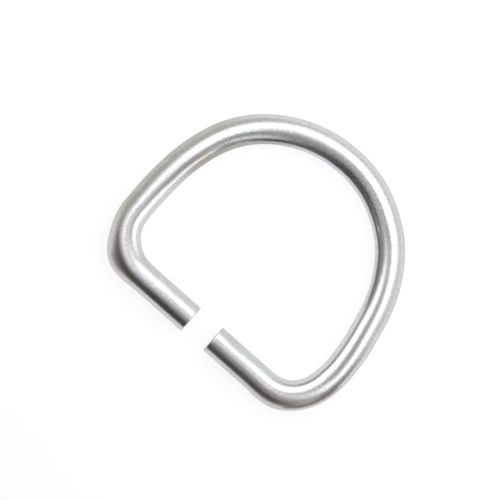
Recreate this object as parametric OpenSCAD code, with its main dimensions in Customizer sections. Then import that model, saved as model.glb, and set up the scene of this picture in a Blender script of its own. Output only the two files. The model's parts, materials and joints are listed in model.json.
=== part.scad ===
// D ring bent from one length of round wire, lying flat on its side.
// The straight bar runs along X at the front and is open in its middle,
// where the two cut ends of the wire face each other across a gap.
// Two corner bends and two short legs lead to the round crown at the back.

/* [Wire] */
// Diameter of the round wire
wire_d = 5; // [3:0.1:8]
// How much thinner the wire is drawn where it is bent
bend_thinning = 0.02; // [0.01:0.01:0.1]
// Width of the bevel that breaks the edge of each cut end
end_break = 0.15; // [0.05:0.05:0.5]

/* [Eye] */
// Clear width inside the ring, from corner to corner
eye_w = 38; // [30:0.5:60]
// Clear depth inside the ring, from the bar to the top of the crown
eye_depth = 31.7; // [26:0.1:60]
// How far the left side of the crown stands in from the left corner
left_tuck = 0.3; // [0.1:0.1:3]
// How far the right side of the crown stands in from the right corner
right_tuck = 1.3; // [0.1:0.1:3]

/* [Corners] */
// Inside radius of the left corner bend
left_corner_r = 5; // [2:0.1:9]
// Inside radius of the right corner bend
right_corner_r = 6.3; // [2:0.1:9]

/* [Gap] */
// Distance between the two cut ends of the bar
gap_w = 4.8; // [0.5:0.1:10]

/* [Hidden] */

// Facets around the wire and along a bend, for the preview only
wire_fn = 64;
bend_fn = 192;

LEFT = -1;
RIGHT = 1;

wire_r = wire_d / 2;
bent_wire_r = wire_r - bend_thinning / 2;

// Everything below follows the centreline of the wire
half_width = eye_w / 2 + wire_r;
full_depth = eye_depth + wire_d;
bar_y = -full_depth / 2;
left_r = left_corner_r + wire_r;
right_r = right_corner_r + wire_r;

// The crown spans what the two tucks leave of the eye's width
crown_r = (eye_w - left_tuck - right_tuck) / 2 + wire_r;
crown_x = (left_tuck - right_tuck) / 2;
crown_centre = [crown_x, full_depth / 2 - crown_r];
left_centre = [LEFT * (half_width - left_r), bar_y + left_r];
right_centre = [RIGHT * (half_width - right_r), bar_y + right_r];

// Directions at right angles to the legs, which touch both circles
left_normal = leg_normal(LEFT, left_centre, left_r) + 360;
right_normal = leg_normal(RIGHT, right_centre, right_r);
bar_normal = -90;

// Angle of the line that touches a corner circle and the crown circle
function leg_normal(side, centre, r) =
    let(between = centre - crown_centre)
    atan2(between[1], between[0]) + side * acos((crown_r - r) / norm(between));

// Point on a circle
function on_circle(centre, r, angle) = centre + r * [cos(angle), sin(angle)];

// Angle by which a bend runs on inside the straight wire beside it
function overrun(r) = sqrt(r * bend_thinning) / 2 / r * 180 / PI;

// Wire bent round a centre from one angle to another
module bend(centre, r, start, end) {
    extra = overrun(r);
    translate([centre[0], centre[1], wire_r])
        rotate([0, 0, start - extra])
            rotate_extrude(angle = end - start + 2 * extra, $fn = bend_fn)
                translate([r, 0])
                    circle(bent_wire_r, $fn = wire_fn);
}

// Straight wire between two points, here one leg
module leg(centre, r, angle) {
    low = on_circle(centre, r, angle);
    high = on_circle(crown_centre, crown_r, angle);
    run = high - low;
    translate([low[0], low[1], wire_r])
        rotate([90, 0, atan2(run[1], run[0]) + 90])
            cylinder(h = norm(run), r = wire_r, $fn = wire_fn);
}

// One half of the bar, turned about its own axis, cut square at the gap
module bar_half(side, corner_x) {
    length = abs(corner_x) - gap_w / 2;
    outline = [
        [0, 0],
        [wire_r - end_break, 0],
        [wire_r, end_break],
        [wire_r, length],
        [0, length]
    ];
    translate([side * gap_w / 2, bar_y, wire_r])
        rotate([0, side * 90, 0])
            rotate_extrude($fn = wire_fn)
                polygon(outline);
}

module wire_ring() {
    color("silver")
        union() {
            bar_half(LEFT, left_centre[0]);
            bar_half(RIGHT, right_centre[0]);
            bend(left_centre, left_r, left_normal, bar_normal + 360);
            bend(right_centre, right_r, bar_normal, right_normal);
            leg(left_centre, left_r, left_normal);
            leg(right_centre, right_r, right_normal);
            bend(crown_centre, crown_r, right_normal, left_normal);
        }
}

wire_ring();
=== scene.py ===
# %% [markdown]
# A D ring, bent from one piece of plated steel wire
# On the real object there is one piece only: a straight length of round wire, sheared square at
# both ends, bent round into a D and barrel plated. The two ends never meet, so the bar of the D
# is open in its middle. This lesson bends such a wire in Blender the way a wire former does, then
# gives it the grain and the faint tints of bright plating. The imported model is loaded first,
# because the sizes of the ring are taken from it.

import json
import math

import bmesh
import bpy
from mathutils import Matrix, Vector


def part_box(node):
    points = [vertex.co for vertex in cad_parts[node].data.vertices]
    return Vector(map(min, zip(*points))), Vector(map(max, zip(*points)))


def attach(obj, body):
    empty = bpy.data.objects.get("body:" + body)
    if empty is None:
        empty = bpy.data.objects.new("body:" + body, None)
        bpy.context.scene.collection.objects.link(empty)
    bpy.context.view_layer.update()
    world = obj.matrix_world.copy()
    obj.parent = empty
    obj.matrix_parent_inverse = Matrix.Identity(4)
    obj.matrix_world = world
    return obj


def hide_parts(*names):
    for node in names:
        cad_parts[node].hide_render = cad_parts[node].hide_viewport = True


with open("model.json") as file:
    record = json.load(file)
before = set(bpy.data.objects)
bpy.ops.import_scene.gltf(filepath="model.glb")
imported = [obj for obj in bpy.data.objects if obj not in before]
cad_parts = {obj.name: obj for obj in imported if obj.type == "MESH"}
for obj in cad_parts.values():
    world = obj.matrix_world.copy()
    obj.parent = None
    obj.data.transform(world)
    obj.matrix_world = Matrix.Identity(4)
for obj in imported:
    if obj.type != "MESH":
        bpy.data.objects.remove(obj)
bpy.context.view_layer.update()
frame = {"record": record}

# %% [markdown]
# Read the driving sizes
# The wire lies flat, so its thickness is the height of its box. Two mounts are the straight halves
# of the bar: their places say where the bar runs, where each corner bend begins and where the wire
# was cut. A third one marks the top of the crown. Every size could be typed in again, but a changed
# model would then leave this script behind. So only four are: the broken edge of a cut end, the
# radius of the crown, how much thinner a bend is, and the hair's breadth by which the finished
# skin stays inside the model.

# %% Sizes of the wire and of its bends
MM = 0.001
UP = Vector((0, 0, 1))
CUT_EDGE = 0.15 * MM
CROWN_RADIUS = 20.7 * MM
SKIN_GAP = 0.02 * MM
BEND_THINNING = 0.01 * MM

mounts = {mount["name"]: mount for mount in frame["record"]["mounts"]}
ring_low, ring_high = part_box("wire_ring")
wire_radius = (ring_high.z - ring_low.z) / 2
skin_radius = wire_radius - SKIN_GAP


def bar_half(name):
    """Where one half of the bar is cut, and where its corner bend begins"""
    mount = mounts[name]
    middle = Vector(mount["pos_m"])
    to_gap = Vector(mount["axis"])
    half = mount["dims"]["length_mm"] / 2 * MM
    return middle + to_gap * (half + CUT_EDGE), middle - to_gap * half


left_cut, left_bend = bar_half("bar_left")
right_cut, right_bend = bar_half("bar_right")
half_width = ring_high.x - wire_radius + BEND_THINNING
left_radius = left_bend.x + half_width
right_radius = half_width - right_bend.x

left_centre = left_bend + Vector((0, left_radius, 0))
right_centre = right_bend + Vector((0, right_radius, 0))
crown_centre = Vector(mounts["crown"]["pos_m"]) - Vector((0, CROWN_RADIUS, 0))
print("wire", round(2 * wire_radius / MM, 2), "mm, corner bends", round(left_radius / MM, 2),
      "and", round(right_radius / MM, 2), "mm to the middle of the wire")

# %% [markdown]
# Work out the legs
# A leg is the straight line that touches a corner bend and the crown. Its direction is all that a
# wire former needs: how far to turn at the corner, how far to run straight, and how far to turn
# round the crown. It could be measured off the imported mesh, but two circles and the line that
# touches both give it exactly.


# %% Direction and length of each leg
def leg(corner, radius, side):
    """Direction in radians that a leg faces, and its length"""
    across = corner - crown_centre
    drop = CROWN_RADIUS - radius
    facing = math.atan2(across.y, across.x) + side * math.acos(drop / across.length)
    return facing, math.sqrt(across.length ** 2 - drop ** 2)


left_facing, left_leg = leg(left_centre, left_radius, -1)
right_facing, right_leg = leg(right_centre, right_radius, 1)
left_facing += math.tau
print("legs", round(left_leg / MM, 2), "and", round(right_leg / MM, 2), "mm, facing",
      round(math.degrees(left_facing), 1), "and", round(math.degrees(right_facing), 1), "degrees")

# %% [markdown]
# Bend the wire
# A circle of edges is the die, and spin pulls the wire through it: each step turns and moves the
# circle a little and leaves skin behind it. A step with no angle runs straight, and a step with no
# travel of its own turns round a centre, so bar, corner, leg and crown are seven calls of one
# operator. A swept curve would do as well, but here every section stays in our hands.

# %% Pull the wire through the die
SIDES = 96
STEP = 0.5 * MM

wire = bmesh.new()
straight_mark = wire.verts.layers.float_vector.new("straight_wire")
die = Matrix.Translation(left_cut) @ Matrix.Rotation(math.radians(90), 4, "Y")
first = bmesh.ops.create_circle(wire, segments=SIDES, radius=skin_radius, matrix=die)["verts"]
rim = first + list(wire.edges)
sections = [first]
runs = [0.0]


def pull(length, centre=None, turn=0.0, heading=None):
    """Pulls out a length of wire, straight along a heading or turning round a centre"""
    global rim
    count = round(length / STEP)
    travel = heading * length / count if heading else Vector((0, 0, 0))
    for _ in range(count):
        made = bmesh.ops.spin(wire, geom=rim, cent=centre or left_cut, axis=UP, dvec=travel,
                              angle=turn / count, steps=1, use_duplicate=False)
        rim = made["geom_last"]
        sections.append([part for part in rim if isinstance(part, bmesh.types.BMVert)])
        runs.append(runs[-1] + length / count)


def up_the_leg(facing):
    """Heading of a leg, away from the left corner, from the direction it faces"""
    return Vector((math.sin(facing), -math.cos(facing), 0))


RIGHT_DOWN = math.radians(-90)
LEFT_DOWN = math.radians(270)
TO_LEFT = Vector((-1, 0, 0))
left_turn = left_facing - LEFT_DOWN
crown_turn = right_facing - left_facing
right_turn = RIGHT_DOWN - right_facing

pull((left_cut - left_bend).length, heading=TO_LEFT)
pull(-left_radius * left_turn, centre=left_centre, turn=left_turn)
pull(left_leg, heading=up_the_leg(left_facing))
pull(-CROWN_RADIUS * crown_turn, centre=crown_centre, turn=crown_turn)
pull(right_leg, heading=up_the_leg(right_facing))
pull(-right_radius * right_turn, centre=right_centre, turn=right_turn)
pull((right_cut - right_bend).length, heading=TO_LEFT)

middles = [sum((vert.co for vert in section), Vector()) / SIDES for section in sections]
print("wire", round(runs[-1] / MM, 1), "mm long in", len(sections), "sections, end off by",
      round((middles[-1] - right_cut).length / MM, 4), "mm")

# %% [markdown]
# Mark every vertex with its place on the straight wire
# Plating, grain and draw lines belong to the wire and not to the room, so they follow its bends.
# Each vertex therefore keeps where it would lie if the wire were straightened again: along it,
# outward and upward, in metres. A map on a flat sheet would do too, but it has a seam along the
# wire, and this mark has none. A list keeps which way is outward at each section, for the next
# step.

# %% Write the straightened place
outwards = []
for place, section in enumerate(sections):
    before = middles[max(place - 1, 0)]
    after = middles[min(place + 1, len(middles) - 1)]
    outward = (after - before).normalized().cross(UP) * -1
    outwards.append(outward)
    for vert in section:
        offset = vert.co - middles[place]
        vert[straight_mark] = Vector((runs[place], offset.dot(outward), offset.z))
print("first section faces", [round(value, 2) for value in outwards[0]])

# %% [markdown]
# Let the wire wander
# No bench-made ring follows its drawing to the hair, and the photograph shows where this one
# strays: the left corner sits a little inside the drawn line, the right leg bows outward and drops
# back at its foot, and both corners have a shoulder where the forming tool pushed. A brush could
# do this by hand, but a short table can be read and changed: it says where, how far and over what
# length. Whole sections are moved by a translation, and a shoulder moves only the vertices on the
# outside of the bend.

# %% Strays of the middle line, and shoulders on the outside
# place along the wire, how far outward, and over what length, all in mm
STRAYS = (
    ("left corner, bar side", 15.5, -0.28, 2.6),
    ("left corner, leg side", 21.4, -0.37, 3.7),
    ("head of the left leg", 36.7, -0.39, 4.4),
    ("right half of the crown", 70.6, 0.16, 4.6),
    ("right of the crown", 80.1, 0.13, 2.9),
    ("right leg", 98.1, 0.29, 3.2),
    ("foot of the right leg", 105.0, -0.26, 2.0),
    ("right corner, bar side", 112.8, 0.36, 2.4),
)
SHOULDERS = (
    ("left corner", 15.4, 0.90, 2.1),
    ("right corner", 115.0, 0.25, 1.6),
)
SHOULDER_POWER = 5
LEAST_PUSH = 0.005 * MM


def swell(table, distance):
    """Sum of the soft humps of a table at one place along the wire, in metres"""
    return sum(amount * math.exp(-0.5 * ((distance / MM - place) / reach) ** 2)
               for _, place, amount, reach in table) * MM


for distance, way_out, section in zip(runs, outwards, sections):
    bmesh.ops.translate(wire, verts=section, vec=way_out * swell(STRAYS, distance))
    push = swell(SHOULDERS, distance)
    if push > LEAST_PUSH:
        for vert in section:
            share = max(vert[straight_mark].y / skin_radius, 0) ** SHOULDER_POWER
            vert.co += way_out * push * share
print("largest stray", round(max(abs(swell(STRAYS, distance)) for distance in runs) / MM, 2),
      "mm, largest shoulder", round(max(swell(SHOULDERS, place) for place in runs) / MM, 2), "mm")

# %% [markdown]
# Close the cut ends
# The wire was sheared, so each end is a flat face with a broken edge. A boolean could cut it, but
# it leaves thin slivers of faces. Here the open rim is filled and bevelled, and two insets give
# the face a lip and a faint dish, as a blade leaves them. The faces inside the bevel get the
# second material of the piece, the bare cut steel.

# %% Cap both ends
LIP = 0.35 * MM
DISH = 0.04 * MM

cut_faces = []
for section in (sections[0], sections[-1]):
    edges = [edge for edge in wire.edges if edge.is_boundary and edge.verts[0] in section]
    bmesh.ops.contextual_create(wire, geom=edges)
    bmesh.ops.bevel(wire, geom=edges, offset=CUT_EDGE, segments=3, profile=0.5,
                    affect="EDGES", material=-1)
    flats = [face for face in wire.faces if len(face.verts) == SIDES and face not in cut_faces]
    flat = max(flats, key=lambda face: face.calc_area())
    lip = bmesh.ops.inset_region(wire, faces=[flat], thickness=LIP, depth=0)["faces"]
    slope = bmesh.ops.inset_region(wire, faces=[flat], thickness=LIP, depth=-DISH)["faces"]
    for face in [flat] + lip + slope:
        face.material_index = 1
    cut_faces.append(flat)
bmesh.ops.recalc_face_normals(wire, faces=wire.faces)
print("faces", len(wire.faces), "and cut ends", len(cut_faces))

# %% [markdown]
# Make the piece
# The imported wire could be dressed as it is, but it has no strays, no shoulders and no dish. So the
# finished skin becomes an object of its own. It rides on the root of the imported model and takes
# the place of its wire. It is measured against the packed model here, because a skin that leaves
# it by more than a hair would rub on its neighbours.

# %% Hand the mesh to an object
mesh = bpy.data.meshes.new("bent_wire")
wire.to_mesh(mesh)
wire.free()
mesh.shade_smooth()
ring = bpy.data.objects.new("bent_wire", mesh)
bpy.context.scene.collection.objects.link(ring)
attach(ring, "root")
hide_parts("wire_ring")

skin_low = Vector([min(vert.co[axis] for vert in mesh.vertices) for axis in range(3)])
skin_high = Vector([max(vert.co[axis] for vert in mesh.vertices) for axis in range(3)])
print("piece", ring.name, "with", len(mesh.polygons), "faces; beyond the packed model by",
      [round(side / MM, 2) for side in ring_low - skin_low],
      [round(side / MM, 2) for side in skin_high - ring_high], "mm (less than 0 is inside)")

# %% [markdown]
# A short way to write node trees
# A finish is a tree of nodes. One helper adds a node, sets its choices and fills its inputs, each
# with a number, a colour or the output of another node, so that a tree reads like a recipe. The
# others name the steps that come back again and again: arithmetic, a soft step, a mix of colours.


# %% Node helpers
def add(tree, kind, inputs=(), out=0, **choices):
    """Adds a node, fills its inputs by name or place, and gives one of its outputs"""
    node = tree.nodes.new("ShaderNode" + kind)
    for name, value in choices.items():
        setattr(node, name, value)
    for key, value in dict(inputs).items():
        if isinstance(value, bpy.types.NodeSocket):
            tree.links.new(value, node.inputs[key])
        else:
            node.inputs[key].default_value = value
    return node.outputs[out]


def math_node(tree, operation, *values):
    """One arithmetic step"""
    return add(tree, "Math", dict(enumerate(values)), operation=operation)


def ramp(tree, value, low, high, start=0.0, end=1.0):
    """Soft step from start to end while the value goes from low to high"""
    return add(tree, "MapRange", {0: value, 1: low, 2: high, 3: start, 4: end},
               interpolation_type="SMOOTHSTEP")


def blend_colour(tree, share, colour, other, way="MIX"):
    """Mixes a colour with another one"""
    return add(tree, "Mix", {0: share, 6: colour, 7: other}, out=2, data_type="RGBA",
               blend_type=way)


def noise(tree, place, per_mm, detail=2.0, rough=0.5, stretch=1.0):
    """Noise with so many cells per millimetre, drawn out along the first axis by stretch"""
    mapped = add(tree, "Mapping", {0: place, 3: (1 / MM / stretch, 1 / MM, 1 / MM)})
    return add(tree, "TexNoise", {"Vector": mapped, "Scale": per_mm, "Detail": detail,
                                  "Roughness": rough})


def new_material(name):
    """A material with its Principled shader, ready to be wired"""
    material = bpy.data.materials.new(name)
    material.use_nodes = True
    print("material", name)
    return material, material.node_tree, material.node_tree.nodes["Principled BSDF"]


# %% [markdown]
# The plating
# Barrel plating is bright but never a mirror. Tumbling leaves a fine grain a few tenths of a
# millimetre wide, the wire under it still shows the long faint lines of the drawing die, and the
# whole has a soft orange peel. A painted picture could carry all that, but a noise has no edge
# and no end. All are read on the straightened wire, so that they bend with it, and larger patches
# say where the plating is thinner.

# %% Grain, orange peel, draw lines and patches
plate, plate_tree, plate_shader = new_material("bright_plating")
straight = add(plate_tree, "Attribute", attribute_name="straight_wire", out=1)
run, outward = add(plate_tree, "SeparateXYZ", {0: straight}).node.outputs[:2]

grain = noise(plate_tree, straight, 3.4, detail=2, rough=0.5)
peel = noise(plate_tree, straight, 0.8, detail=1)
draw_lines = noise(plate_tree, straight, 3.0, detail=2, stretch=14)
patches = noise(plate_tree, straight, 0.16, detail=2, stretch=1.6)
print("four noises on the straightened wire")

# %% [markdown]
# Places on the wire
# Some marks belong to one place: the upper part of the left leg came out of the barrel duller on
# its outside and is tinted darker there, partly as painted shade; both corners were rubbed by the
# forming tool; a small brownish patch on the inside of the left leg is a stain together with
# painted shade; and the innermost edge above it is darkened with painted shade. They could be
# painted by hand, but here each is a stretch along the wire, on its outer or its inner side, and
# the orange peel frays its edge.


# %% Stretches of the wire
OUTER = 1
INNER = -1
# how far out a stretch starts and is full, and how far the peel frays it, as shares of the radius
SIDE_START = 0.2
SIDE_FULL = 0.8
FRAY = 1.2


def stretch_of_wire(start, end, soft, side):
    """Share of a stretch between two places along the wire, in mm, on its outer or inner side"""
    ragged = math_node(plate_tree, "MULTIPLY_ADD", peel, FRAY * wire_radius, -FRAY / 2 * wire_radius)
    turned_out = math_node(plate_tree, "MULTIPLY", outward, side)
    here = math_node(plate_tree, "ADD", turned_out, ragged)
    share = ramp(plate_tree, here, SIDE_START * wire_radius, SIDE_FULL * wire_radius)
    for place, fade in ((start, soft), (end, -soft)):
        edge = ramp(plate_tree, run, (place - fade) * MM, (place + fade) * MM)
        share = math_node(plate_tree, "MULTIPLY", share, edge)
    return share


# duller plating on the outside of the upper left leg, tinted darker in part as painted shade
matt_and_shaded_arm = stretch_of_wire(21, 46, soft=4, side=OUTER)
left_rub = stretch_of_wire(12, 20, soft=2, side=OUTER)
right_rub = stretch_of_wire(107, 118, soft=2, side=OUTER)
# brownish patch inside the left leg: a stain together with painted shade
stain_and_shade = stretch_of_wire(36, 42, soft=3, side=INNER)
# the innermost edge inside the left leg is darkened with painted shade
shaded = stretch_of_wire(33, 54, soft=4, side=INNER)
innermost = ramp(plate_tree, outward, -0.60 * wire_radius, -0.78 * wire_radius)
shaded_edge = math_node(plate_tree, "MULTIPLY", shaded, innermost)
print("matt arm, two rubs, a stain and a soiled edge")

# %% [markdown]
# Nicks
# Rings knock against each other in the barrel. A nick is a small oval pit, longer across the wire
# than along it. Pits this small would need very many faces, so they are bumps: the distance to
# the middle of a pit, divided by its size, fades from a full pit to nothing.

# %% Small knocks in the skin
# place along the wire in mm, and how far outward as a share of the radius
NICKS = ((84.1, 0.02), (89.3, -0.09), (96.6, 0.05), (62.0, -0.55), (47.0, 0.60), (120.5, 0.38),
         (9.0, 0.15))
NICK_SIZE = Vector((0.13, 0.30, 0.30)) * MM
NICK_FLOOR = 0.3

nicked = 0.0
for nick_run, nick_out in NICKS:
    nick_up = math.sqrt(1 - nick_out ** 2)
    centre = Vector((nick_run * MM, nick_out * wire_radius, nick_up * wire_radius))
    away = add(plate_tree, "VectorMath", {0: straight, 1: centre}, operation="SUBTRACT")
    away = add(plate_tree, "VectorMath", {0: away, 1: NICK_SIZE}, operation="DIVIDE")
    reach = add(plate_tree, "VectorMath", {0: away}, out=1, operation="LENGTH")
    depth = ramp(plate_tree, reach, NICK_FLOOR, 1.0, 1.0, 0.0)
    nicked = math_node(plate_tree, "ADD", nicked, depth)
print(len(NICKS), "nicks")

# %% [markdown]
# Bumps
# Grain, peel and lines are only a few thousandths of a millimetre high, far too fine to model, so
# they tilt the light instead. The bumps are chained: each one starts from the surface that the
# one before it left. The left half of the ring is grainier than the right, and the grain changes
# over on the crown.

# %% Chain of bumps
GRAIN_HEIGHT = 0.0022 * MM
PEEL_HEIGHT = 0.005 * MM
LINE_HEIGHT = 0.004 * MM
NICK_DEPTH = 0.010 * MM
RIGHT_GRAIN = 0.6
LEFT_GRAIN = 1.0
LEFT_ENDS = 46 * MM
RIGHT_BEGINS = 62 * MM

left_half = ramp(plate_tree, run, RIGHT_BEGINS, LEFT_ENDS)
grain_share = math_node(plate_tree, "MULTIPLY_ADD", left_half, LEFT_GRAIN - RIGHT_GRAIN, RIGHT_GRAIN)
uneven_grain = math_node(plate_tree, "MULTIPLY", grain, grain_share)
bumps = add(plate_tree, "Bump", {"Height": peel, "Distance": PEEL_HEIGHT})
bumps = add(plate_tree, "Bump", {"Height": draw_lines, "Distance": LINE_HEIGHT, "Normal": bumps})
bumps = add(plate_tree, "Bump", {"Height": uneven_grain, "Distance": GRAIN_HEIGHT,
                                 "Normal": bumps})
bumps = add(plate_tree, "Bump", {"Height": nicked, "Distance": NICK_DEPTH, "Normal": bumps},
            invert=True)
plate_tree.links.new(bumps, plate_shader.inputs["Normal"])
print("bumps in mm:", [round(height / MM, 4) for height in
                       (GRAIN_HEIGHT, PEEL_HEIGHT, LINE_HEIGHT, NICK_DEPTH)])

# %% [markdown]
# Tints
# The plating looks faintly blue on the inside of the ring and faintly yellow on the outside, goes
# dull in patches, and is mottled by its grain. The marks of the places are mixed over that, each
# with its own strength. A metal takes its colour from what it reflects, so the plating itself
# stays a light grey, and only the matt arm, the stain and the innermost edge are darker: matt and
# stained, and in part painted shade.

# %% Colour of the plating
INNER_TINT = (0.67, 0.70, 0.715, 1)
OUTER_TINT = (0.655, 0.66, 0.64, 1)
EDGE_TINT = (0.75, 0.77, 0.79, 1)
DULL_TINT = (0.65, 0.645, 0.65, 1)
RUB_TINT = (0.64, 0.58, 0.57, 1)
MOTTLE_DARK = 0.88
MOTTLE_LIGHT = 1.09
# the matt arm, the stain and the innermost edge are darkened partly with painted shade; the rubs are
# wear
MARKS = (
    (matt_and_shaded_arm, 0.75, (0.49, 0.50, 0.455, 1)),
    (left_rub, 0.5, RUB_TINT),
    (right_rub, 0.5, RUB_TINT),
    (stain_and_shade, 0.7, (0.54, 0.49, 0.41, 1)),
    (shaded_edge, 0.7, (0.33, 0.31, 0.28, 1)),
)

outer_share = ramp(plate_tree, outward, -wire_radius, wire_radius)
colour = blend_colour(plate_tree, outer_share, INNER_TINT, OUTER_TINT)
colour = blend_colour(plate_tree, ramp(plate_tree, patches, 0.35, 0.65), colour, DULL_TINT)
mottle = ramp(plate_tree, grain, 0.3, 0.7, MOTTLE_DARK, MOTTLE_LIGHT)
mottle_colour = add(plate_tree, "CombineColor", {0: mottle, 1: mottle, 2: mottle})
colour = blend_colour(plate_tree, 1.0, colour, mottle_colour, way="MULTIPLY")
for share, strength, tint in MARKS:
    colour = blend_colour(plate_tree, math_node(plate_tree, "MULTIPLY", share, strength), colour,
                          tint)
plate_tree.links.new(colour, plate_shader.inputs["Base Color"])
plate_shader.inputs["Metallic"].default_value = 1.0
plate_shader.inputs["Specular Tint"].default_value = EDGE_TINT
print(len(MARKS), "marks over the plating")

# %% [markdown]
# Roughness
# Roughness is how far the plating smears what it mirrors. A mirror would show every card of this
# scene with a hard edge, and the photograph shows soft ones. The patches where the plating is
# thinner are a little rougher than the rest, and the matt arm is much rougher.

# %% Roughness of the plating
BRIGHT_ROUGHNESS = 0.26
DULL_ROUGHNESS = 0.31
MATT_EXTRA = 0.16

roughness = ramp(plate_tree, patches, 0.3, 0.7, BRIGHT_ROUGHNESS, DULL_ROUGHNESS)
roughness = math_node(plate_tree, "MULTIPLY_ADD", matt_and_shaded_arm, MATT_EXTRA, roughness)
plate_tree.links.new(roughness, plate_shader.inputs["Roughness"])
mesh.materials.append(plate)
print("roughness", BRIGHT_ROUGHNESS, "to", DULL_ROUGHNESS, "and more by", MATT_EXTRA, "on the arm")

# %% [markdown]
# The cut steel
# A shear goes through the wire in two ways: the first part is cut smooth and the rest tears off,
# which leaves fine upright streaks and a duller, warmer grey than the plating beside it. The
# plating's own tree could be bent to this, but bare steel has none of its marks, so it gets a
# short tree of its own. The streaks are a noise drawn out along the height of the cut.

# %% Material of the sheared ends
STREAK_HEIGHT = 0.012 * MM
STREAK_STRETCH = 4
STREAK_DARK = (0.46, 0.45, 0.44, 1)
STREAK_LIGHT = (0.62, 0.61, 0.60, 1)
SMOOTH_CUT = 0.34
TORN_CUT = 0.52
# the tear begins and is full at these heights over the paper, as shares of the radius
TEAR_START = 1.2
TEAR_FULL = 0.7

steel, steel_tree, steel_shader = new_material("sheared_steel")
spot = add(steel_tree, "TexCoord", out=3)
streak_scale = (1 / MM, 1 / MM, 1 / MM / STREAK_STRETCH)
streak_place = add(steel_tree, "Mapping", {0: spot, 3: streak_scale})
streaks = add(steel_tree, "TexNoise", {"Vector": streak_place, "Scale": 4.0, "Detail": 3.0})
spot_height = add(steel_tree, "SeparateXYZ", {0: spot}, out=2)
torn = ramp(steel_tree, spot_height, TEAR_START * wire_radius, TEAR_FULL * wire_radius)
cut_roughness = ramp(steel_tree, torn, 0, 1, SMOOTH_CUT, TORN_CUT)
steel_colour = blend_colour(steel_tree, streaks, STREAK_DARK, STREAK_LIGHT)
steel_tree.links.new(steel_colour, steel_shader.inputs["Base Color"])
steel_tree.links.new(cut_roughness, steel_shader.inputs["Roughness"])
streak_bump = add(steel_tree, "Bump", {"Height": streaks, "Distance": STREAK_HEIGHT})
steel_tree.links.new(streak_bump, steel_shader.inputs["Normal"])
steel_shader.inputs["Metallic"].default_value = 1.0
mesh.materials.append(steel)
print("materials of the piece:", [material.name for material in mesh.materials])

# %% [markdown]
# Floor
# The photograph was taken on white paper that is lit so well that no shadow is left to speak of.
# Strong lamps from all sides would do that too, but they would also show on the wire. So most of
# the paper's brightness is its own, and only the rest comes from the tent above it. A faint grain
# keeps it from being a mere number.

# %% White paper under the ring
FLOOR_HALF = 1.5
PAPER_GRAIN = 0.004 * MM
PAPER_GLOW = 0.84
PAPER_SMOOTH = 0.85
PAPER_ROUGH = 0.95
PAPER_DARK = (0.195, 0.195, 0.195, 1)
PAPER_LIGHT = (0.205, 0.205, 0.205, 1)

floor_bmesh = bmesh.new()
bmesh.ops.create_grid(floor_bmesh, x_segments=1, y_segments=1, size=FLOOR_HALF)
floor_mesh = bpy.data.meshes.new("floor")
floor_bmesh.to_mesh(floor_mesh)
floor_bmesh.free()
floor = bpy.data.objects.new("floor", floor_mesh)
bpy.context.scene.collection.objects.link(floor)

paper, paper_tree, paper_shader = new_material("white_paper")
sheet = add(paper_tree, "TexCoord", out=3)
fibres = noise(paper_tree, sheet, 1.5, detail=3)
paper_colour = blend_colour(paper_tree, fibres, PAPER_DARK, PAPER_LIGHT)
paper_tree.links.new(paper_colour, paper_shader.inputs["Base Color"])
paper_bump = add(paper_tree, "Bump", {"Height": fibres, "Distance": PAPER_GRAIN})
paper_tree.links.new(paper_bump, paper_shader.inputs["Normal"])
paper_roughness = ramp(paper_tree, fibres, 0, 1, PAPER_SMOOTH, PAPER_ROUGH)
paper_tree.links.new(paper_roughness, paper_shader.inputs["Roughness"])
paper_shader.inputs["Specular IOR Level"].default_value = 0.0
paper_shader.inputs["Emission Color"].default_value = (1, 1, 1, 1)
paper_shader.inputs["Emission Strength"].default_value = PAPER_GLOW
floor_mesh.materials.append(paper)
print("floor", 2 * FLOOR_HALF, "m square")

# %% [markdown]
# Camera
# The ring was photographed from straight above, and it lay turned on the paper. The ring itself
# stays unturned at the origin here, so the camera is rolled instead. The width of the field and
# the place that it looks at were read off the photograph, with the thickness of the wire as ruler.
# A camera without perspective would come close, but the bands on the wire shift a little from
# side to side, so this one hangs at a real height.

# %% Camera straight above
FIELD = 82.5 * MM
ROLL = math.radians(41.5)
AIM = Vector((-2.72, -3.33, 0)) * MM
CAMERA_HEIGHT = 0.30
SENSOR = 36

camera_data = bpy.data.cameras.new("camera")
camera_data.sensor_width = SENSOR
camera_data.lens = SENSOR * CAMERA_HEIGHT / FIELD
camera_data.clip_start = 0.01
camera_data.clip_end = 10
camera = bpy.data.objects.new("camera", camera_data)
bpy.context.scene.collection.objects.link(camera)
camera.location = AIM + UP * (CAMERA_HEIGHT + wire_radius)
camera.rotation_euler = (0, 0, ROLL)
bpy.context.scene.camera = camera
print("camera sees", round(FIELD / MM, 1), "mm from", CAMERA_HEIGHT, "m, lens",
      round(camera_data.lens), "mm")

# %% [markdown]
# Light tent
# Bright metal shows nothing but its surroundings. Lamps alone would leave it black with a few hot
# spots, so the light is modelled like an object: half a ball of white cloth over the paper, hidden
# from the camera and seen by the wire. Its faces look inward, toward the ring.

# %% Half a ball of cloth
TENT_RADIUS = 0.16
TENT_FOOT = 0.001

tent_bmesh = bmesh.new()
bmesh.ops.create_uvsphere(tent_bmesh, u_segments=48, v_segments=24, radius=TENT_RADIUS)
whole_ball = tent_bmesh.verts[:] + tent_bmesh.edges[:] + tent_bmesh.faces[:]
bmesh.ops.bisect_plane(tent_bmesh, geom=whole_ball, plane_co=(0, 0, TENT_FOOT),
                       plane_no=(0, 0, -1), clear_outer=True)
bmesh.ops.reverse_faces(tent_bmesh, faces=tent_bmesh.faces)
tent_mesh = bpy.data.meshes.new("light_tent")
tent_bmesh.to_mesh(tent_mesh)
tent_bmesh.free()
tent = bpy.data.objects.new("light_tent", tent_mesh)
bpy.context.scene.collection.objects.link(tent)
tent.visible_camera = False
print("tent of", len(tent_mesh.polygons), "faces")

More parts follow.
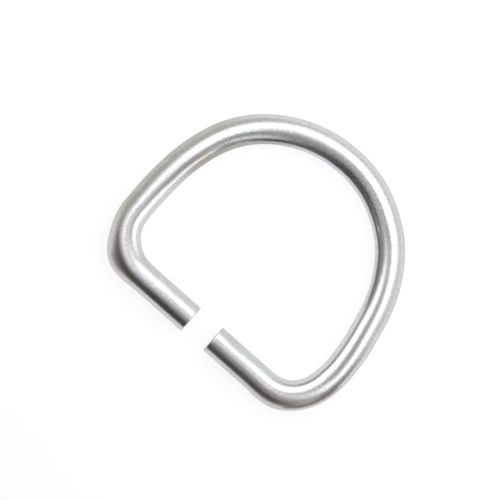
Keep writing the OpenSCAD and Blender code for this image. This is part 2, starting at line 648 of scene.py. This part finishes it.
# %% [markdown]
# Directions in the tent
# The cloth is painted by direction. Every point of it has a tilt, counted from straight up, and
# an azimuth, counted the way the photograph shows it. A picture of a real room could be wrapped
# round the ring instead, but zones with soft limits on these two can be moved and toned one by
# one. They are painted over one another like layers of wash.

# %% Tilt and azimuth of the cloth
cloth = bpy.data.materials.new("tent_cloth")
cloth.use_nodes = True
sky = cloth.node_tree
sky.nodes.clear()
cloth_place = add(sky, "TexCoord", out=3)
ray = add(sky, "VectorMath", {0: cloth_place}, operation="NORMALIZE")
east, north, height = add(sky, "SeparateXYZ", {0: ray}).node.outputs
tilt = math_node(sky, "DEGREES", math_node(sky, "ARCCOSINE", height))
turned = math_node(sky, "DEGREES", math_node(sky, "ARCTAN2", north, east))
azimuth = math_node(sky, "SUBTRACT", turned, math.degrees(ROLL))


def off(direction):
    """Angle between the azimuth and a direction in the picture, in degrees"""
    gap = math_node(sky, "WRAP", math_node(sky, "SUBTRACT", azimuth, direction), 180, -180)
    return math_node(sky, "ABSOLUTE", gap)


def within(value, limit, soft):
    """1 while the value is below the limit, with a soft edge"""
    low = math_node(sky, "SUBTRACT", limit, soft)
    high = math_node(sky, "ADD", limit, soft)
    return ramp(sky, value, low, high, 1.0, 0.0)


def beyond(value, limit, soft):
    """1 while the value is above the limit, with a soft edge"""
    return math_node(sky, "SUBTRACT", 1.0, within(value, limit, soft))


def both(one, other):
    """Where two zones meet"""
    return math_node(sky, "MULTIPLY", one, other)


def disc(centre_tilt, direction, radius, soft):
    """Round patch of cloth round a point given by its tilt and its direction in the picture"""
    turn = math.radians(direction) + ROLL
    lean = math.radians(centre_tilt)
    middle = (math.sin(lean) * math.cos(turn), math.sin(lean) * math.sin(turn), math.cos(lean))
    toward = add(sky, "VectorMath", {0: ray, 1: middle}, out=1, operation="DOT_PRODUCT")
    return within(math_node(sky, "DEGREES", math_node(sky, "ARCCOSINE", toward)), radius, soft)


def paint(under, share, tone):
    """One wash of a tone over what is there"""
    return blend_colour(sky, share, under, (*tone, 1))


print("directions of the cloth take", len(sky.nodes), "nodes")

# %% [markdown]
# Light in the tent
# The bands on the wire tell what stood round it: a broad lamp above the crown, a greenish grey
# wall beside the left leg, low grey and brown things toward the foot of the picture, and pale
# walls elsewhere. Each band was measured across the wire, turned into the direction that it
# mirrors, and painted there. Most zones are wedges: they lie below one tilt and round one
# direction.

# %% Broad zones of the cloth
WALL = (0.85, 0.86, 0.86)
LAMP = (1.95, 1.95, 1.95)
PALE_GREY = (0.74, 0.75, 0.76)
GREEN_GREY = (0.54, 0.55, 0.51)
LOW_GREY = (0.48, 0.46, 0.45)
BROWN = (0.38, 0.34, 0.33)


def wedge(top_tilt, soft, direction, reach, fade):
    """Cloth below a tilt and within reach of a direction in the picture, in degrees"""
    return both(beyond(tilt, top_tilt, soft), within(off(direction), reach, fade))


arm_side = wedge(43, 6, 122, 38, 14)
arm_far = wedge(74, 8, 110, 18, 10)
grey_side = wedge(48, 8, -78, 34, 14)
brown_side = wedge(34, 6, -100, 22, 14)
lamp = disc(18, 36, 42.5, 10)
print("broad zones of the cloth, nodes so far", len(sky.nodes))

# %% [markdown]
# The dark opening
# The darkest band of the photograph runs along the outside of the bar, with a brown rim beside it.
# Both come from an opening toward the lower left. A plain wedge would end it with a straight edge,
# but the band thins out round the corners. So the upper edges of the opening and of its rim sink
# with the distance from its middle, and the lower edge, which meets the paper there, rises.

# %% Opening and its brown rim
SHADE = (0.31, 0.235, 0.205)
DARK = (0.057, 0.048, 0.047)
OPENING = -138
LOWEST = -125
EDGE_SOFT = 7

aslant = off(OPENING)
low_edge = math_node(sky, "MULTIPLY_ADD", off(LOWEST), -0.3, 93)
above_floor = within(tilt, low_edge, 5)


def opening(top_tilt, sink, reach, fade):
    """Zone whose upper edge starts at a tilt and sinks by so many degrees per degree aside"""
    edge = math_node(sky, "MULTIPLY_ADD", aslant, sink, top_tilt)
    return both(above_floor, both(beyond(tilt, edge, EDGE_SOFT), within(aslant, reach, fade)))


shade = opening(31, 0.35, 70, 24)
dark = opening(38, 0.45, 44, 20)
print("opening toward", OPENING, "degrees in the picture")

# %% [markdown]
# The strip over the bar
# The middle grey band of the bar mirrors a strip that masks the lamp, bluish over the ring and
# darker farther out. A wedge closes up toward the top of the tent, but the band is as wide at the
# gap as at the corners. So the strip is drawn by its place on the cloth: it grows wider away from
# the crown, and its end toward the crown is cut out like a swallow's tail.

# %% Strip that masks the lamp
BAR_LIGHT = (0.51, 0.53, 0.59)
BAR_DIM = (0.26, 0.25, 0.27)

bar_width = ramp(sky, north, -0.14, -0.04, 0.18, 0.11)
aside = math_node(sky, "ABSOLUTE", east)
strip_end = math_node(sky, "MULTIPLY_ADD", aside, -0.6, north)
bar_strip = both(within(strip_end, 0.27, 0.04), within(aside, bar_width, 0.03))
bar_strip = both(bar_strip, within(tilt, 44, 6))
bar_tone = blend_colour(sky, ramp(sky, north, -0.12, -0.55), (*BAR_LIGHT, 1), (*BAR_DIM, 1))
print("strip from", BAR_LIGHT, "to", BAR_DIM)

# %% [markdown]
# Round the right corner
# Round a corner the wire faces every direction within a few millimetres, so each wedge of the
# cloth shows as a short patch there. Wide zones would do for the corner alone, but they would also
# show on the bar and the leg. So it has five small ones: a grey, a dim and a brown one for its
# start, a lamp that keeps its white band whole, and a brown one low down.

# %% Small zones for the right corner
CORNER_GREY = (0.66, 0.64, 0.65)
LOW_BROWN = (0.24, 0.22, 0.21)

corner_side = wedge(8, 6, -95, 27, 10)
corner_dim = wedge(11, 8, -113, 14, 8)
corner_brown = wedge(40, 7, -98, 20, 10)
corner_low = wedge(66, 8, -62, 22, 8)
corner_lamp = both(within(tilt, 52, 6), within(off(-44), 14, 6))
print("zones of the cloth done, nodes so far", len(sky.nodes))

# %% [markdown]
# Paint
# The order of the layers matters: the lamp covers the walls, the strip masks the lamp, and the
# corner zones and the opening lie over all. The cloth gives light by itself, but no lamp rays are
# sent to it, because reflections find it without them.

# %% Paint the cloth
look = (*WALL, 1)
for zone, tone in ((arm_side, GREEN_GREY), (arm_far, PALE_GREY), (grey_side, LOW_GREY),
                   (brown_side, BROWN), (shade, SHADE),
                   (corner_low, LOW_BROWN), (corner_lamp, LAMP), (lamp, LAMP)):
    look = paint(look, zone, tone)
look = blend_colour(sky, bar_strip, look, bar_tone)
for zone, tone in ((corner_side, CORNER_GREY), (corner_dim, BAR_DIM), (corner_brown, BROWN),
                   (dark, DARK)):
    look = paint(look, zone, tone)

glow = add(sky, "Emission", {0: look})
shown = sky.nodes.new("ShaderNodeOutputMaterial")
sky.links.new(glow, shown.inputs["Surface"])
cloth.cycles.emission_sampling = "NONE"
tent_mesh.materials.append(cloth)
print("cloth done with", len(sky.nodes), "nodes")

# %% [markdown]
# Near cards
# Some bands shift from one side of the ring to the other more than anything far away could make
# them: they come from things close by, such as the camera that hangs over the ring. They could be
# painted on the wire, but then they would turn with it. So each is a small glowing card that only
# reflections see. The first one is the grey over the ring, whose band lies in the middle of the
# wire all round the crown.


# %% Grey card over the ring
def near_card(name, corners, light, panels=1):
    """A glowing card that only reflections see, from the corners in mm of one or more panels"""
    card_mesh = bpy.data.meshes.new(name)
    card_bmesh = bmesh.new()
    each = len(corners) // panels
    for start in range(0, len(corners), each):
        panel = [card_bmesh.verts.new(Vector(corner) * MM)
                 for corner in corners[start:start + each]]
        bmesh.ops.contextual_create(card_bmesh, geom=panel)
    card_bmesh.to_mesh(card_mesh)
    card_bmesh.free()
    card = bpy.data.objects.new(name, card_mesh)
    bpy.context.scene.collection.objects.link(card)
    card.visible_camera = False
    card.visible_diffuse = False
    card.visible_shadow = False
    glowing = bpy.data.materials.new(name)
    glowing.use_nodes = True
    glowing.node_tree.nodes.clear()
    shine = add(glowing.node_tree, "Emission", {0: (*light, 1)})
    end = glowing.node_tree.nodes.new("ShaderNodeOutputMaterial")
    glowing.node_tree.links.new(shine, end.inputs["Surface"])
    glowing.cycles.emission_sampling = "NONE"
    card_mesh.materials.append(glowing)
    print("card", name, "with", len(corners), "corners")


CAMERA_GREY = (0.36, 0.342, 0.352)

near_card("grey_card", ((-17, -14.5, 34.3), (37.1, -12.2, 34.3), (20.5, 21.7, 94.3),
                        (-4, 21.7, 94.3), (-4, 8, 70), (-3.5, 0, 56), (-8, -9, 40)), CAMERA_GREY)

# %% [markdown]
# Cards beside the legs
# A leg mirrors what stands across the eye, and the two legs show different bands. Cards back to
# back give each leg its own picture, because what one leg shows is hidden from the other. Right of
# the middle, a white one faces the right leg and a brown one the left leg. The brown one begins a
# good way from the bar, because it would dim the white band there. The left leg has two cards in
# one plane, white below and grey above, and a flat white roof that keeps its white band whole.

# %% Upright cards and a roof
CARD_WHITE = (1.8, 1.8, 1.8)
ROOF_WHITE = (1.9, 1.9, 1.9)
CARD_BROWN = (0.30, 0.27, 0.26)


def upright(x, outline):
    """Corners of a card that stands across the eye at one x"""
    return [(x, y, z) for y, z in outline]


near_card("right_card", upright(8.6, ((-14, 8.5), (0, 8.5), (5, 13), (5, 20), (1, 26), (-14, 26))),
          CARD_WHITE)
near_card("brown_card", upright(8.1, ((-12, 4), (10, 4), (3, 21), (-9, 21))), CARD_BROWN)
near_card("left_card", upright(-10, ((-14, 4.5), (2.5, 5), (2.5, 8.5), (-4, 9.5), (-8, 14),
                                     (-14, 15))), CARD_WHITE)
near_card("left_roof", ((-19.5, -9, 34), (-15, -6, 34), (-11.5, -6, 34), (-11.5, 2, 34), (-9, 7, 34),
                        (-13.6, 12.5, 34), (-18.5, 5, 34)), ROOF_WHITE)
near_card("left_grey", upright(-10, ((-14, 15), (-8, 14), (-4, 9.5), (2.5, 8.5), (4, 22),
                                     (-14, 24))), CAMERA_GREY)

# %% [markdown]
# The edges of the wire mirror what lies low and close. The photograph shows a dark strip along the
# inside of the crown and none along the inside of the bar, so low screens stand inside the eye,
# dark toward the crown and pale toward the bar. The dark ones are painted shade: they stand in for
# the shade low round the wire. A flat one would come close to a bend in one place only, so those
# that belong to a bend are round and have five panels. The brown one stands outside the right
# corner.

# %% Straight and round screens
SCREEN_DARK = (0.05, 0.05, 0.06)
SCREEN_DARK_BLUE = (0.045, 0.050, 0.075)
SCREEN_PALE = (0.90, 0.90, 0.91)
SCREEN_BROWN = (0.26, 0.24, 0.22)
STRAIGHT_REACH = 14
STRAIGHT_FOOT = 0.4
STRAIGHT_TOP = 5.6
PANELS = 5
ROUND_FOOT = 0.2
ROUND_TOP = 5.4


def bar_screen(y):
    """Corners of a low screen that stands along the bar at one y"""
    return ((-STRAIGHT_REACH, y, STRAIGHT_FOOT), (STRAIGHT_REACH, y, STRAIGHT_FOOT),
            (STRAIGHT_REACH, y, STRAIGHT_TOP), (-STRAIGHT_REACH, y, STRAIGHT_TOP))


def round_screen(centre, radius, start, end):
    """Corners of the panels of a low screen round the centre of a bend, from angle to angle"""
    corners = []
    width = (end - start) / PANELS
    for panel in range(PANELS):
        for side, height in ((0, ROUND_FOOT), (1, ROUND_FOOT), (1, ROUND_TOP), (0, ROUND_TOP)):
            turn = math.radians(start + (panel + side) * width)
            foot = centre / MM + radius * Vector((math.cos(turn), math.sin(turn), 0))
            corners.append((foot.x, foot.y, height))
    return corners


# the dark screens are painted shade, seen only in reflections
near_card("dark_card", bar_screen(-12.9), SCREEN_DARK)
near_card("dark_screen", round_screen(crown_centre, 9.0, 14, 134), SCREEN_DARK_BLUE, PANELS)
near_card("pale_screen", round_screen(crown_centre, 8.7, 14, 134), SCREEN_PALE, PANELS)
near_card("brown_screen", round_screen(right_centre, 20.8, -58, -6), SCREEN_BROWN, PANELS)
near_card("pale_back", bar_screen(-13.1), SCREEN_PALE)

# %% [markdown]
# Backdrop
# From the side a camera looks past the paper, so the room round it is a plain light grey, and a
# little brighter where it lights the paper outside the tent. Walls could be modelled for that,
# but the wire never sees them behind the tent. Standard colours keep the white of the paper white.

# %% Plain room
SEEN_ROOM = (0.93, 0.93, 0.93, 1)
LIGHT_ROOM = (1.15, 1.15, 1.15, 1)

world = bpy.data.worlds.new("backdrop")
bpy.context.scene.world = world
world.use_nodes = True
room = world.node_tree
seen = add(room, "LightPath", out=0)
plain = blend_colour(room, seen, LIGHT_ROOM, SEEN_ROOM)
room.links.new(plain, room.nodes["Background"].inputs["Color"])
bpy.context.scene.view_settings.view_transform = "Standard"
print("view transform", bpy.context.scene.view_settings.view_transform)
